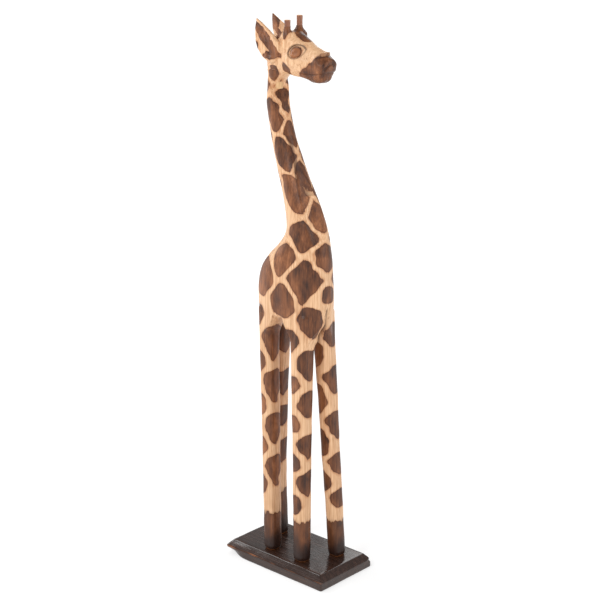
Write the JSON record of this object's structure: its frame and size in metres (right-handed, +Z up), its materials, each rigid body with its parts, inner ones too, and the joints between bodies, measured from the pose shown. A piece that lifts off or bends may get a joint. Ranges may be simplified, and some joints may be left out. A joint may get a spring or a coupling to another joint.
{
  "type": "carved giraffe statue",
  "caption": "Tall carved wooden giraffe with scorched brown patches, peg horns and hollowed ears, standing on a dark bevelled board.",
  "frame": {"origin": "centre of the base board's underside", "axes": "+X the way the giraffe faces, +Y its left side, +Z up"},
  "size_m": [0.24, 0.14, 1.002],
  "materials": {
    "pale_wood": "satin lacquer over pale wood with scorched brown patches",
    "horn_wood": "satin lacquer over scorched reddish-brown wood",
    "board_wood": "glossy dark brown stain, rubbed through at the edges",
    "dowel_wood": "bare beech",
    "screw_zinc": "zinc plated"
  },
  "bodies": {
    "root": {"base_board": "board_wood", "torso_neck": "pale_wood", "head": "pale_wood", "neck_dowel": "dowel_wood", "ear_right": "pale_wood", "ear_left": "pale_wood", "horn_right": "horn_wood", "horn_left": "horn_wood", "ear_dowel_right": "dowel_wood", "ear_dowel_left": "dowel_wood", "leg_front_right": "pale_wood", "leg_front_left": "pale_wood", "leg_hind_right": "pale_wood", "leg_hind_left": "pale_wood", "leg_dowel_front_right": "dowel_wood", "leg_dowel_front_left": "dowel_wood", "leg_dowel_hind_right": "dowel_wood", "leg_dowel_hind_left": "dowel_wood", "base_screw_front_right": "screw_zinc", "base_screw_front_left": "screw_zinc", "base_screw_hind_right": "screw_zinc", "base_screw_hind_left": "screw_zinc"}
  },
  "joints": []
}
